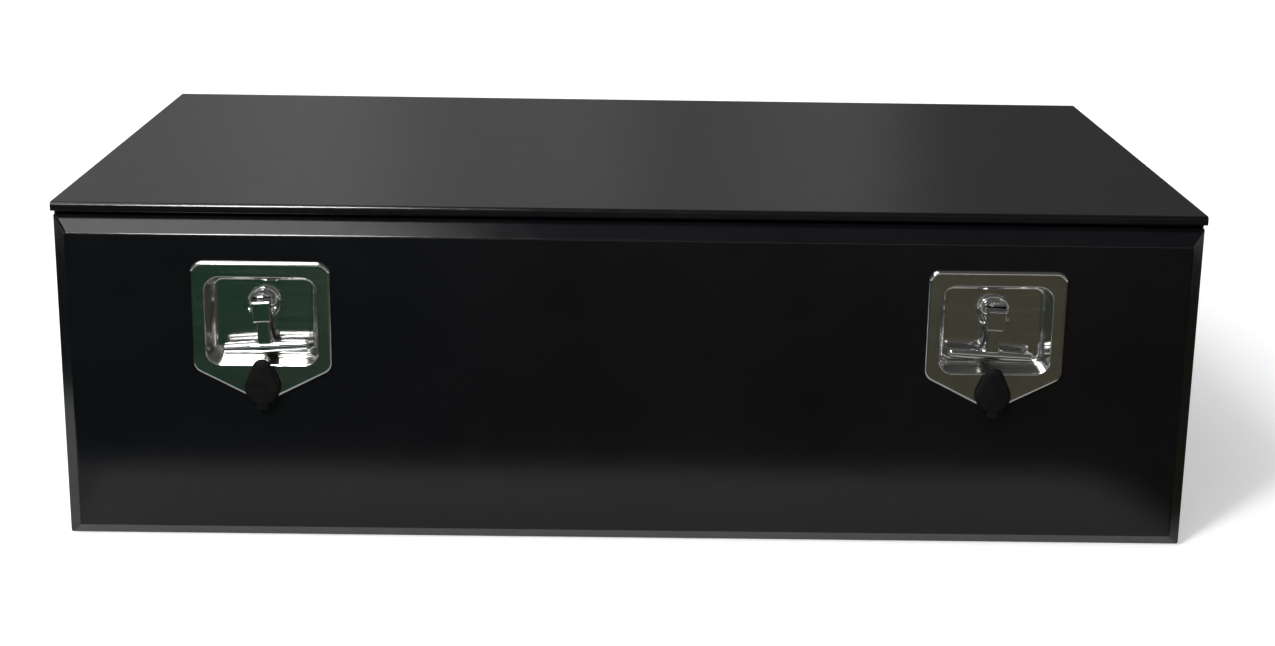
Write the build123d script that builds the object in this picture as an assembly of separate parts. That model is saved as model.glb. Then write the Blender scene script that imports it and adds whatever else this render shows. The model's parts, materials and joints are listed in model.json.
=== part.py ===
from build123d import *
import math
import os

os.makedirs("parts", exist_ok=True)

# Overall size of the box
BOX_WIDTH = 1000.0
BODY_DEPTH = 570.0
BOX_HEIGHT = 305.0
SHEET = 1.6
BEND = 2.4

# Rain lip along the top front edge
LIP_OVERHANG = 10.5
LIP_HEIGHT = 8.0
HEM_HEIGHT = 5.0
HEM_ROUND = 1.5

# Front frame round the opening
STILE_WIDTH = 30.0
RAIL_HEIGHT = 31.6
SEAL_LIP = 9.0
BACK_FLANGE = 16.0
TOP_RAIL_FLANGE = 26.0
WELD_GAP = 0.3

# Rubber seal on the frame lip
SEAL_CARRIER = 2.7
SEAL_STANDOFF = 1.5
SEAL_BULB = 5.0
SEAL_ROUND = 4.4
SEAL_CORNER = 6.0
SEAL_CLEAR = 0.4
SLOT_CLEAR = 0.1

# Drop-down door
DOOR_INSET = 1.5
DOOR_BOTTOM = 2.0
DOOR_TOP_GAP = 3.0
DOOR_GAP = 6.5
BEVEL_WIDTH = 13.0
BEVEL_DEPTH = 16.0
BEVEL_ROUND = 2.6
RETURN_FLANGE = 14.0
RETURN_BOTTOM = 20.0
RIM_LAND = 16.0

# Piano hinge along the bottom edge
HINGE_MARGIN = 20.0
HINGE_AXIS_Z = 4.5
HINGE_CLEAR = 0.25
KNUCKLE_RADIUS = 3.0
KNUCKLE_COUNT = 15
KNUCKLE_GAP = 0.6
HINGE_PIN_RADIUS = 1.6
HINGE_PIN_CLEAR = 0.08
LEAF = 1.2
BODY_LEAF_WIDTH = 21.5
DOOR_LEAF_WIDTH = 16.5
RIVET_COUNT = 9
RIVET_RADIUS = 2.0
RIVET_HEAD_RADIUS = 3.8
RIVET_HEAD = 1.0
RIVET_CLEAR = 0.05
BODY_RIVET_Z = 17.0
DOOR_RIVET_Z = 14.5

# Slotted stays that hold the open door level
STAY_RADIUS = 150.0
STAY_ANGLE = 30.0
DOOR_SWING = 90.0
STAY_INSET = 47.0
STAY_THICK = 3.0
STAY_WIDTH = 20.0
STAY_PIN_RADIUS = 4.0
STAY_PIN_CLEAR = 0.3
STAY_PIVOT_CLEAR = 0.1
STAY_END = 12.0
EAR_THICK = 2.5
EAR_GAP = 1.0
EAR_FOOT = 22.0
EAR_HEIGHT = 34.0
EAR_MARGIN = 12.0
STAY_HEAD = 3.0
STAY_HEAD_RADIUS = 7.0
BRACKET_HEIGHT = 36.0
BRACKET_EAR = 30.0
BRACKET_FOOT = 30.0

# Lock positions on the door
LOCK_INSET = 181.0
SPINDLE_DROP = 88.0
LOCK_TILT = 3.0

# Lock dish
DISH_WIDTH = 121.0
DISH_TOP = 41.0
DISH_SHOULDER = 56.0
DISH_TIP = 87.0
DISH_CORNER = 10.5
DISH_PROUD = 3.5
DISH_ROUND = 3.0
DISH_SHEET = 1.3
DISH_SKIRT = 2.4
RECESS_WIDTH = 97.0
RECESS_HEIGHT = 78.0
RECESS_CENTRE = 12.0
RECESS_CORNER = 13.0
RECESS_DEPTH = 22.0
RECESS_TAPER = 11.0
RECESS_ROUND = 5.0
RECESS_RIM_ROUND = 1.6
CUTOUT_CLEAR = 2.2
STUD_X = 54.2
STUD_UP = 34.5
STUD_DOWN = 44.5
STUD_RADIUS = 2.0
STUD_CLEAR = 0.3
STUD_LENGTH = 9.0
NUT_RADIUS = 4.0
NUT_HEIGHT = 3.2
HEX_SIDES = 6
GASKET_CLEAR = 0.3

# Spindle, bush and cam
SHAFT_RADIUS = 6.0
SHAFT_CLEAR = 0.08
BUSH_SPIGOT = 8.0
BUSH_RADIUS = 12.0
BUSH_LENGTH = 6.5
COLLAR_RADIUS = 14.6
COLLAR = 3.0
COLLAR_GAP = 0.3
HEAD_RADIUS = 12.5
HEAD_FRONT = 3.0
HEAD_ROUND = 9.0
CAM_SQUARE = 9.0
CAM_CLEAR = 0.05
CAM_THICK = 4.0
CAM_LENGTH = 49.0
CAM_WIDTH = 24.0
CAM_TIP_WIDTH = 17.0
CAM_GAP = 1.0
THREAD_RADIUS = 4.0
WASHER_RADIUS = 8.5
WASHER = 1.6
CAM_NUT_RADIUS = 7.4
CAM_NUT = 6.5
THREAD_END = 2.0

# Folding handle
PIVOT_DROP = 3.0
PIVOT_DEPTH = 9.5
EYE_RADIUS = 8.4
EYE_WIDTH = 16.0
EYE_CLEAR = 0.3
EYE_BLOCK = 10.5
EYE_BACK = 4.5
EYE_ROUND = 1.2
EYE_EDGE = 2.0
EYE_PIN_CLEAR = 0.04
SLOT_TOP = 11.4
SLOT_FLOOR = 9.0
HANDLE_PIN_RADIUS = 2.5
HANDLE_PIN_CLEAR = 0.06
HANDLE_PIN_LENGTH = 23.0
BAR_DROP = 34.0
BAR_LENGTH = 76.0
BAR_RADIUS = 5.3
BAR_END_RADIUS = 4.3
BAR_END_ROUND = 3.4
STEM_WIDTH = 12.0
STEM_DEPTH = 9.6
STEM_FOOT_WIDTH = 13.6
STEM_ROUND = 2.4
STEM_ROOT = 3.5

# Key cylinder and its swinging cover
KEY_DROP = 70.0
BARREL_RADIUS = 10.0
BARREL_HEAD_RADIUS = 11.2
BARREL_HEAD = 0.8
BARREL_LENGTH = 25.0
BARREL_CLEAR = 0.2
PLUG_RADIUS = 6.6
PLUG_CLEAR = 0.08
PLUG_TAIL = 4.0
PLUG_TAIL_LENGTH = 6.0
KEYWAY_WIDTH = 2.2
KEYWAY_HEIGHT = 8.5
KEYWAY_DEPTH = 16.0
BARREL_NUT_RADIUS = 15.0
BARREL_NUT = 4.0
TONGUE_LENGTH = 24.0
TONGUE_WIDTH = 13.0
TONGUE = 3.0
COVER_PIVOT_DROP = 56.2
COVER_PIN_RADIUS = 1.6
COVER_PIN_CLEAR = 0.08
COVER_PIN_HEAD_RADIUS = 3.0
COVER_PIN_HEAD = 1.0
COVER_PIN_GAP = 0.1
COVER_BACK_GAP = 0.4
COVER_THICK = 7.0
COVER_WIDTH = 31.0
COVER_TOP_RADIUS = 6.0
COVER_TOP_REACH = 11.0
COVER_BOTTOM_REACH = 30.0
COVER_ROUND = 4.2
COVER_BORE = 3.4
COVER_LIP = 3.0
NUB_WIDTH = 11.0
NUB_HEIGHT = 9.0
NUB_THICK = 5.0
NUB_ROUND = 1.8

# Planes that the pieces share
HALF_WIDTH = BOX_WIDTH / 2
FRONT = -BODY_DEPTH / 2
BACK = BODY_DEPTH / 2
HALF_SHEET = SHEET / 2
SECOND_LAYER = SHEET + HALF_SHEET
LIP_FRONT = FRONT - LIP_OVERHANG
LIP_BOTTOM = BOX_HEIGHT - LIP_HEIGHT
STILE_EDGE = HALF_WIDTH - STILE_WIDTH
TOP_RAIL_Z = BOX_HEIGHT - RAIL_HEIGHT
DOOR_BACK = FRONT - DOOR_GAP
DOOR_FACE = DOOR_BACK - BEVEL_DEPTH
DOOR_INNER = DOOR_FACE + SHEET
DOOR_HALF = HALF_WIDTH - DOOR_INSET
DOOR_TOP = LIP_BOTTOM - DOOR_TOP_GAP
HINGE_Y = FRONT - KNUCKLE_RADIUS - HINGE_CLEAR
HINGE_LENGTH = BOX_WIDTH - 2 * HINGE_MARGIN
STAY_X = HALF_WIDTH - STAY_INSET
LOCK_OFFSET = HALF_WIDTH - LOCK_INSET
SPINDLE_Z = BOX_HEIGHT - SPINDLE_DROP
DISH_FRONT = DOOR_FACE - DISH_PROUD
DISH_FLOOR = DISH_FRONT + RECESS_DEPTH
DISH_BACK = DISH_FLOOR + DISH_SHEET
PIVOT_Y = DISH_FRONT + PIVOT_DEPTH
PIVOT_Z = SPINDLE_Z - PIVOT_DROP
BAR_Z = PIVOT_Z - BAR_DROP
KEY_Z = SPINDLE_Z - KEY_DROP
COVER_Z = SPINDLE_Z - COVER_PIVOT_DROP


def block(x0, x1, y0, y1, z0, z1):
    centre = Pos((x0 + x1) / 2, (y0 + y1) / 2, (z0 + z1) / 2)
    return centre * Box(x1 - x0, y1 - y0, z1 - z0)


def rod_x(radius, x0, x1, y, z):
    turned = Rot(0, 90, 0) * Cylinder(radius, x1 - x0)
    return Pos((x0 + x1) / 2, y, z) * turned


def rod_y(radius, y0, y1, x, z):
    turned = Rot(90, 0, 0) * Cylinder(radius, y1 - y0)
    return Pos(x, (y0 + y1) / 2, z) * turned


def hex_y(radius, y0, y1, x, z):
    plane = Plane(origin=(x, y1, z), x_dir=(1, 0, 0), z_dir=(0, -1, 0))
    return extrude(plane * RegularPolygon(radius, HEX_SIDES), amount=y1 - y0)


def plate_y(sketch, y0, y1, x, z):
    plane = Plane(origin=(x, y1, z), x_dir=(1, 0, 0), z_dir=(0, -1, 0))
    return extrude(plane * sketch, amount=y1 - y0)


def folded(points):
    path = FilletPolyline(*points, radius=BEND)
    return trace(path, line_width=SHEET)


def folded_along_x(points, x0, x1):
    return Pos(x0, 0, 0) * extrude(Plane.YZ * folded(points), amount=x1 - x0)


def folded_along_z(points, z0, z1):
    return Pos(0, 0, z0) * extrude(folded(points), amount=z1 - z0)


def ring_sketch(half_x, z0, z1, grow, corner):
    wide = 2 * (half_x + grow)
    high = z1 - z0 + 2 * grow
    if corner > 0:
        return Pos(0, (z0 + z1) / 2) * RectangleRounded(wide, high, corner)
    return Pos(0, (z0 + z1) / 2) * Rectangle(wide, high)


# Folded sheet that makes the top, back and floor
def make_wrap():
    points = [
        (LIP_FRONT + HALF_SHEET, LIP_BOTTOM + HEM_ROUND),
        (LIP_FRONT + HALF_SHEET, BOX_HEIGHT - HALF_SHEET),
        (BACK - HALF_SHEET, BOX_HEIGHT - HALF_SHEET),
        (BACK - HALF_SHEET, HALF_SHEET),
        (FRONT + HALF_SHEET, HALF_SHEET),
        (FRONT + HALF_SHEET, RAIL_HEIGHT - HALF_SHEET),
        (FRONT - SEAL_LIP, RAIL_HEIGHT - HALF_SHEET),
    ]
    wrap = folded_along_x(points, -HALF_WIDTH, HALF_WIDTH)
    hem_back = LIP_FRONT + 2 * SHEET
    hem = block(-HALF_WIDTH, HALF_WIDTH, LIP_FRONT, hem_back, LIP_BOTTOM, LIP_BOTTOM + HEM_HEIGHT)
    low_edges = hem.edges().filter_by(Axis.X).group_by(Axis.Z)[0]
    hem = fillet(low_edges, HEM_ROUND)
    wrap = wrap + hem
    notch_edge = STILE_EDGE - WELD_GAP
    notch_front = FRONT - SEAL_LIP - SHEET
    notch_back = FRONT + BEND + SHEET
    notch_top = RAIL_HEIGHT + SHEET
    for side in (-1, 1):
        ends = sorted((side * notch_edge, side * (HALF_WIDTH + SHEET)))
        wrap = wrap - block(ends[0], ends[1], notch_front, notch_back, SHEET, notch_top)
    for x in rivet_places():
        wrap = wrap - rod_y(RIVET_RADIUS + RIVET_CLEAR, FRONT - SHEET, FRONT + 2 * SHEET, x, BODY_RIVET_Z)
    return wrap


# End wall with its folded front stile and rear weld flange
def make_side():
    wall = HALF_WIDTH - HALF_SHEET
    lip = STILE_EDGE + HALF_SHEET
    points = [
        (HALF_WIDTH - BACK_FLANGE, BACK - SECOND_LAYER),
        (wall, BACK - SECOND_LAYER),
        (wall, FRONT + HALF_SHEET),
        (lip, FRONT + HALF_SHEET),
        (lip, FRONT - SEAL_LIP),
    ]
    panel = folded_along_z(points, SHEET, BOX_HEIGHT - SHEET)
    lip_front = FRONT - SEAL_LIP - SHEET
    outer = STILE_EDGE + SHEET + BEND
    inner = STILE_EDGE - SHEET
    low_end = RAIL_HEIGHT - SHEET
    high_end = TOP_RAIL_Z + SHEET
    panel = panel - block(inner, outer, lip_front, FRONT, 0, low_end)
    panel = panel - block(inner, outer, lip_front, FRONT, high_end, BOX_HEIGHT)
    corner = BACK - SHEET - BEND
    past = HALF_WIDTH + SHEET
    inside = HALF_WIDTH - BACK_FLANGE - SHEET
    panel = panel - block(inside, past, corner, BACK, 0, SHEET + BEND)
    panel = panel - block(inside, past, corner, BACK, BOX_HEIGHT - SHEET - BEND, BOX_HEIGHT)
    return panel


# Rail under the top panel that the locks close against
def make_top_rail():
    edge = STILE_EDGE - WELD_GAP
    points = [
        (FRONT + TOP_RAIL_FLANGE, BOX_HEIGHT - SECOND_LAYER),
        (FRONT + HALF_SHEET, BOX_HEIGHT - SECOND_LAYER),
        (FRONT + HALF_SHEET, TOP_RAIL_Z + HALF_SHEET),
        (FRONT - SEAL_LIP, TOP_RAIL_Z + HALF_SHEET),
    ]
    return folded_along_x(points, -edge, edge)


# Rubber seal pressed over the frame lip
def make_seal():
    half_x = STILE_EDGE + HALF_SHEET
    z0 = RAIL_HEIGHT - HALF_SHEET
    z1 = TOP_RAIL_Z + HALF_SHEET
    carrier_back = FRONT - SEAL_STANDOFF
    lip_end = FRONT - SEAL_LIP - SLOT_CLEAR
    bulb_back = lip_end - SEAL_STANDOFF
    bulb_front = DOOR_INNER + SEAL_CLEAR
    outer = ring_sketch(half_x, z0, z1, SEAL_CARRIER, SEAL_CARRIER)
    inner = ring_sketch(half_x, z0, z1, -SEAL_CARRIER, SEAL_CARRIER)
    carrier = plate_y(outer - inner, bulb_back - SEAL_STANDOFF, carrier_back, 0, 0)
    slot_grow = HALF_SHEET + SLOT_CLEAR
    slot_outer = ring_sketch(half_x, z0, z1, slot_grow, 0)
    slot_inner = ring_sketch(half_x, z0, z1, -slot_grow - WELD_GAP, 0)
    carrier = carrier - plate_y(slot_outer - slot_inner, lip_end, carrier_back, 0, 0)
    bulb_outer = ring_sketch(half_x, z0, z1, SEAL_BULB, SEAL_CORNER + 2 * SEAL_BULB)
    bulb_inner = ring_sketch(half_x, z0, z1, -SEAL_BULB, SEAL_CORNER)
    bulb = plate_y(bulb_outer - bulb_inner, bulb_front, bulb_back, 0, 0)
    along = bulb.edges().group_by(Axis.Y)
    bulb = fillet(along[0] + along[-1], SEAL_ROUND)
    return carrier + bulb


# Leaf of the piano hinge with every second knuckle
def make_leaf(first, leaf_y0, leaf_y1, leaf_width, rivet_z):
    half = HINGE_LENGTH / 2
    pitch = HINGE_LENGTH / KNUCKLE_COUNT
    plate_low = HINGE_AXIS_Z + KNUCKLE_RADIUS + KNUCKLE_GAP
    leaf = block(-half, half, leaf_y0, leaf_y1, plate_low, HINGE_AXIS_Z + leaf_width)
    for index in range(first, KNUCKLE_COUNT, 2):
        x0 = -half + index * pitch + KNUCKLE_GAP / 2
        x1 = -half + (index + 1) * pitch - KNUCKLE_GAP / 2
        leaf = leaf + rod_x(KNUCKLE_RADIUS, x0, x1, HINGE_Y, HINGE_AXIS_Z)
        leaf = leaf + block(x0, x1, leaf_y0, leaf_y1, HINGE_AXIS_Z, plate_low + KNUCKLE_GAP)
    bore = HINGE_PIN_RADIUS + HINGE_PIN_CLEAR
    leaf = leaf - rod_x(bore, -half - LEAF, half + LEAF, HINGE_Y, HINGE_AXIS_Z)
    for x in rivet_places():
        leaf = leaf - rod_y(RIVET_RADIUS + RIVET_CLEAR, leaf_y0 - LEAF, leaf_y1 + LEAF, x, rivet_z)
    return leaf


def rivet_places():
    pitch = HINGE_LENGTH / RIVET_COUNT
    first = -HINGE_LENGTH / 2 + pitch / 2
    return [first + index * pitch for index in range(RIVET_COUNT)]


def make_rivets(y0, y1, z):
    row = []
    for x in rivet_places():
        rivet = rod_y(RIVET_RADIUS, y0, y1, x, z)
        rivet = rivet + rod_y(RIVET_HEAD_RADIUS, y0 - RIVET_HEAD, y0, x, z)
        rivet = rivet + rod_y(RIVET_HEAD_RADIUS, y1, y1 + RIVET_HEAD, x, z)
        row.append(rivet.solid())
    return Compound(children=row)


def make_hinge_pin():
    half = HINGE_LENGTH / 2
    return rod_x(HINGE_PIN_RADIUS, -half, half, HINGE_Y, HINGE_AXIS_Z)


# Stay that slides on a fixed pin while the door swings
def stay_points():
    swing = math.radians(STAY_ANGLE)
    fixed_y = HINGE_Y + STAY_RADIUS * math.sin(swing)
    fixed_z = HINGE_AXIS_Z + STAY_RADIUS * math.cos(swing)
    door_y = HINGE_Y
    door_z = HINGE_AXIS_Z + STAY_RADIUS
    return door_y, door_z, fixed_y, fixed_z


def stay_reach():
    half_closed = math.radians(STAY_ANGLE / 2)
    half_open = math.radians((STAY_ANGLE + DOOR_SWING) / 2)
    return 2 * STAY_RADIUS * math.sin(half_closed), 2 * STAY_RADIUS * math.sin(half_open)


def make_stay_arm():
    door_y, door_z, fixed_y, fixed_z = stay_points()
    near, far = stay_reach()
    slot_width = 2 * (STAY_PIN_RADIUS + STAY_PIN_CLEAR)
    end = far + STAY_PIN_RADIUS + STAY_END
    body = Pos(end / 2 - STAY_WIDTH / 4, 0) * SlotOverall(end + STAY_WIDTH / 2, STAY_WIDTH)
    slot = Pos((near + far) / 2, 0) * SlotOverall(far - near + slot_width, slot_width)
    hole = Circle(STAY_PIN_RADIUS + STAY_PIVOT_CLEAR)
    angle = math.degrees(math.atan2(fixed_z - door_z, fixed_y - door_y))
    plane = Plane(origin=(STAY_X, door_y, door_z), x_dir=(0, 1, 0), z_dir=(1, 0, 0))
    flat = extrude(plane * (Rot(0, 0, angle) * (body - slot - hole)), amount=STAY_THICK / 2, both=True)
    return flat


def make_stay_rivet():
    door_y, door_z, fixed_y, fixed_z = stay_points()
    inner = STAY_X - STAY_THICK / 2
    outer = STAY_X + STAY_THICK / 2 + EAR_GAP + EAR_THICK
    rivet = rod_x(STAY_PIN_RADIUS, inner, outer, door_y, door_z)
    rivet = rivet + rod_x(STAY_HEAD_RADIUS, inner - STAY_HEAD, inner, door_y, door_z)
    return rivet


def make_stay_stud():
    door_y, door_z, fixed_y, fixed_z = stay_points()
    inner = STAY_X - STAY_THICK / 2 - STAY_PIN_CLEAR
    outer = STAY_X + STAY_THICK / 2 + EAR_GAP + EAR_THICK
    stud = rod_x(STAY_PIN_RADIUS, inner, outer, fixed_y, fixed_z)
    stud = stud + rod_x(STAY_HEAD_RADIUS, inner - STAY_HEAD, inner, fixed_y, fixed_z)
    stud = stud + rod_x(STAY_HEAD_RADIUS, outer, outer + STAY_HEAD, fixed_y, fixed_z)
    return stud


def make_door_bracket():
    door_y, door_z, fixed_y, fixed_z = stay_points()
    x0 = STAY_X + STAY_THICK / 2 + EAR_GAP
    x1 = x0 + EAR_THICK
    low = door_z - EAR_HEIGHT / 2
    high = door_z + EAR_HEIGHT / 2
    ear = block(x0, x1, DOOR_INNER, door_y + EAR_MARGIN, low, high)
    ends = ear.edges().filter_by(Axis.X).group_by(Axis.Y)[-1]
    ear = fillet(ends, EAR_MARGIN)
    foot = block(x1 - EAR_FOOT, x1, DOOR_INNER, DOOR_INNER + EAR_THICK, low, high)
    bracket = ear + foot
    return bracket - rod_x(STAY_PIN_RADIUS + STAY_PIVOT_CLEAR, x0 - EAR_THICK, x1 + EAR_THICK, door_y, door_z)


def make_body_bracket():
    door_y, door_z, fixed_y, fixed_z = stay_points()
    x0 = STAY_X + STAY_THICK / 2 + EAR_GAP
    x1 = HALF_WIDTH - SHEET
    low = fixed_z - BRACKET_HEIGHT / 2
    high = fixed_z + BRACKET_HEIGHT / 2
    web = fixed_y + BRACKET_EAR / 2
    ear = block(x0, x0 + EAR_THICK, fixed_y - BRACKET_EAR / 2, web, low, high)
    ends = ear.edges().filter_by(Axis.X).group_by(Axis.Y)[0]
    ear = fillet(ends, EAR_MARGIN)
    middle = block(x0, x1, web - EAR_THICK, web, low, high)
    foot = block(x1 - EAR_THICK, x1, web - EAR_THICK, web + BRACKET_FOOT, low, high)
    bracket = ear + middle + foot
    return bracket - rod_x(STAY_PIN_RADIUS, x0 - EAR_THICK, x0 + 2 * EAR_THICK, fixed_y, fixed_z)


# Door: a flat skin with lock cutouts in a bevelled rim with return flanges
def frustum(back_y, front_y, half_back, half_front, low_back, low_front, high_back, high_front):
    back_plane = Plane(origin=(0, back_y, 0), x_dir=(1, 0, 0), z_dir=(0, -1, 0))
    front_plane = Plane(origin=(0, front_y, 0), x_dir=(1, 0, 0), z_dir=(0, -1, 0))
    back_shape = Pos(0, (low_back + high_back) / 2) * Rectangle(2 * half_back, high_back - low_back)
    front_shape = Pos(0, (low_front + high_front) / 2) * Rectangle(2 * half_front, high_front - low_front)
    return loft([back_plane * back_shape, front_plane * front_shape])


def make_door():
    half_front = DOOR_HALF - BEVEL_WIDTH
    low_front = DOOR_BOTTOM + BEVEL_WIDTH
    high_front = DOOR_TOP - BEVEL_WIDTH
    outer = frustum(DOOR_BACK, DOOR_FACE, DOOR_HALF, half_front, DOOR_BOTTOM, low_front, DOOR_TOP, high_front)
    face_edges = outer.edges().group_by(Axis.Y)[0]
    mitre_edges = outer.edges().group_by(Axis.Y)[1:-1]
    chosen = list(face_edges)
    for group in mitre_edges:
        chosen.extend(group)
    outer = fillet(chosen, BEVEL_ROUND)
    slope = math.atan2(BEVEL_WIDTH, BEVEL_DEPTH)
    wall = SHEET / math.cos(slope)
    rise = BEVEL_WIDTH / BEVEL_DEPTH
    pocket_back = DOOR_BACK - SHEET
    edge_shift = SHEET * rise + wall
    face_shift = (BEVEL_DEPTH - SHEET) * rise + wall
    pocket = frustum(
        pocket_back,
        DOOR_INNER,
        DOOR_HALF - edge_shift,
        DOOR_HALF - face_shift,
        DOOR_BOTTOM + edge_shift,
        DOOR_BOTTOM + face_shift,
        DOOR_TOP - edge_shift,
        DOOR_TOP - face_shift,
    )
    door = outer - pocket
    mouth = DOOR_HALF - RETURN_FLANGE
    mouth_low = DOOR_BOTTOM + RETURN_BOTTOM
    mouth_high = DOOR_TOP - RETURN_FLANGE
    door = door - block(-mouth, mouth, pocket_back - SHEET, DOOR_BACK + SHEET, mouth_low, mouth_high)
    for x in rivet_places():
        hole = rod_y(RIVET_RADIUS + RIVET_CLEAR, pocket_back - SHEET, DOOR_BACK + SHEET, x, DOOR_RIVET_Z)
        door = door - hole
    for x in (-LOCK_OFFSET, LOCK_OFFSET):
        door = door - cutout(x, DOOR_FACE - SHEET, DOOR_INNER + SHEET)
    seam = half_front - RIM_LAND
    seam_low = low_front + RIM_LAND
    seam_high = high_front - RIM_LAND
    zone = block(-seam, seam, DOOR_FACE - SHEET, DOOR_INNER + SHEET, seam_low, seam_high)
    return door & zone, door - zone


def cutout(x, y0, y1):
    grown = 2 * CUTOUT_CLEAR
    hole = RectangleRounded(RECESS_WIDTH + grown, RECESS_HEIGHT + grown, RECESS_CORNER + CUTOUT_CLEAR)
    tool = plate_y(hole, y0, y1, x, SPINDLE_Z - RECESS_CENTRE)
    tool = tool + rod_y(BARREL_RADIUS + BARREL_CLEAR, y0, y1, x, KEY_Z)
    for place in stud_places():
        tool = tool + rod_y(STUD_RADIUS + STUD_CLEAR, y0, y1, x + place[0], place[1])
    return tool


def stud_places():
    high = SPINDLE_Z + STUD_UP
    low = SPINDLE_Z - STUD_DOWN
    return [(-STUD_X, high), (STUD_X, high), (-STUD_X, low), (STUD_X, low)]


# Lock dish: five-sided flange with a sunk finger recess
def home_plate(inset, corner):
    half = DISH_WIDTH / 2 - inset
    top = DISH_TOP - inset
    slope = math.atan2(DISH_TIP - DISH_SHOULDER, DISH_WIDTH / 2)
    tip = -DISH_TIP + inset / math.cos(slope)
    shoulder = tip + half * math.tan(slope)
    outline = Polyline((-half, top), (half, top), (half, shoulder), (0, tip), (-half, shoulder), close=True)
    face = make_face(outline)
    return fillet(face.vertices(), corner)


def recess_solid(grow, depth, round_radius):
    plane = Plane(origin=(0, DISH_FRONT, SPINDLE_Z - RECESS_CENTRE), x_dir=(1, 0, 0), z_dir=(0, 1, 0))
    shape = RectangleRounded(RECESS_WIDTH + 2 * grow, RECESS_HEIGHT + 2 * grow, RECESS_CORNER + grow)
    pan = extrude(plane * shape, amount=depth, taper=RECESS_TAPER)
    floor_edges = pan.edges().group_by(Axis.Y)[-1]
    return fillet(floor_edges, round_radius)


def recess_rim(dish):
    rim = []
    for edge in dish.edges().group_by(Axis.Y)[0]:
        across = abs(edge.center().X)
        along = abs(edge.center().Z - SPINDLE_Z + RECESS_CENTRE)
        if across < RECESS_WIDTH / 2 + HALF_SHEET and along < RECESS_HEIGHT / 2 + HALF_SHEET:
            rim.append(edge)
    return rim


def make_dish():
    flange = plate_y(home_plate(0, DISH_CORNER), DISH_FRONT, DOOR_FACE, 0, SPINDLE_Z)
    flange = fillet(flange.edges().group_by(Axis.Y)[0], DISH_ROUND)
    pocket_back = DISH_FRONT + DISH_SHEET
    pocket = plate_y(home_plate(DISH_SKIRT, DISH_CORNER - DISH_SKIRT), pocket_back, DOOR_FACE, 0, SPINDLE_Z)
    flange = flange - pocket
    pan = recess_solid(DISH_SHEET, RECESS_DEPTH + DISH_SHEET, RECESS_ROUND + DISH_SHEET)
    dish = flange + pan - recess_solid(0, RECESS_DEPTH, RECESS_ROUND)
    dish = fillet(recess_rim(dish), RECESS_RIM_ROUND)
    dish = dish - rod_y(BUSH_SPIGOT, DISH_FLOOR - SHEET, DISH_BACK + SHEET, 0, SPINDLE_Z)
    dish = dish - rod_y(BARREL_RADIUS + BARREL_CLEAR, DISH_FRONT - SHEET, DOOR_FACE, 0, KEY_Z)
    dish = dish - rod_y(COVER_PIN_RADIUS, DISH_FRONT - SHEET, DOOR_FACE, 0, COVER_Z)
    stud_front = DISH_FRONT + DISH_SHEET / 2
    for x, z in stud_places():
        dish = dish + rod_y(STUD_RADIUS, stud_front, DOOR_FACE + STUD_LENGTH, x, z)
    return dish


def make_gasket():
    y0 = DISH_FRONT + DISH_SHEET
    inset = DISH_SKIRT + GASKET_CLEAR
    gasket = plate_y(home_plate(inset, DISH_CORNER - inset), y0, DOOR_FACE, 0, SPINDLE_Z)
    return gasket - cutout(0, y0 - SHEET, DOOR_FACE + SHEET)


def make_dish_nuts():
    nuts = []
    for place in stud_places():
        nut = hex_y(NUT_RADIUS, DOOR_INNER, DOOR_INNER + NUT_HEIGHT, place[0], place[1])
        nut = nut - rod_y(STUD_RADIUS, DOOR_FACE, DOOR_INNER + 2 * NUT_HEIGHT, place[0], place[1])
        nuts.append(nut.solid())
    return Compound(children=nuts)


def make_bush():
    bush = rod_y(BUSH_SPIGOT, DISH_FLOOR, DISH_BACK + SHEET, 0, SPINDLE_Z)
    bush = bush + rod_y(BUSH_RADIUS, DISH_BACK, DISH_BACK + BUSH_LENGTH, 0, SPINDLE_Z)
    return bush - rod_y(SHAFT_RADIUS + SHAFT_CLEAR, DISH_FRONT, DISH_BACK + 2 * BUSH_LENGTH, 0, SPINDLE_Z)


# Spindle with the forked head that carries the handle
def make_spindle():
    collar_back = DISH_FLOOR - COLLAR_GAP
    collar_front = collar_back - COLLAR
    head_front = DISH_FRONT + HEAD_FRONT
    head = rod_y(HEAD_RADIUS, head_front, collar_front + HALF_SHEET, 0, SPINDLE_Z)
    head = fillet(head.edges().group_by(Axis.Y)[0], HEAD_ROUND)
    collar = rod_y(COLLAR_RADIUS, collar_front, collar_back, 0, SPINDLE_Z)
    collar = fillet(collar.edges().group_by(Axis.Y)[0], COLLAR / 2)
    half_slot = EYE_WIDTH / 2 + EYE_CLEAR
    slot_back = PIVOT_Y + SLOT_FLOOR
    slot_top = PIVOT_Z + SLOT_TOP
    slot_low = SPINDLE_Z - COLLAR_RADIUS - SHEET
    slot = block(-half_slot, half_slot, head_front - SHEET, slot_back, slot_low, slot_top)
    hole = HANDLE_PIN_RADIUS + HANDLE_PIN_CLEAR
    spindle = head + collar - slot
    spindle = spindle - rod_x(hole, -COLLAR_RADIUS, COLLAR_RADIUS, PIVOT_Y, PIVOT_Z)
    square_front = DISH_BACK + BUSH_LENGTH + CAM_GAP
    square_back = square_front + CAM_THICK
    thread_back = square_back + WASHER + CAM_NUT + THREAD_END
    half = CAM_SQUARE / 2
    spindle = spindle + rod_y(SHAFT_RADIUS, collar_back, square_front, 0, SPINDLE_Z)
    spindle = spindle + block(-half, half, square_front, square_back, SPINDLE_Z - half, SPINDLE_Z + half)
    return spindle + rod_y(THREAD_RADIUS, square_back, thread_back, 0, SPINDLE_Z)


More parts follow.
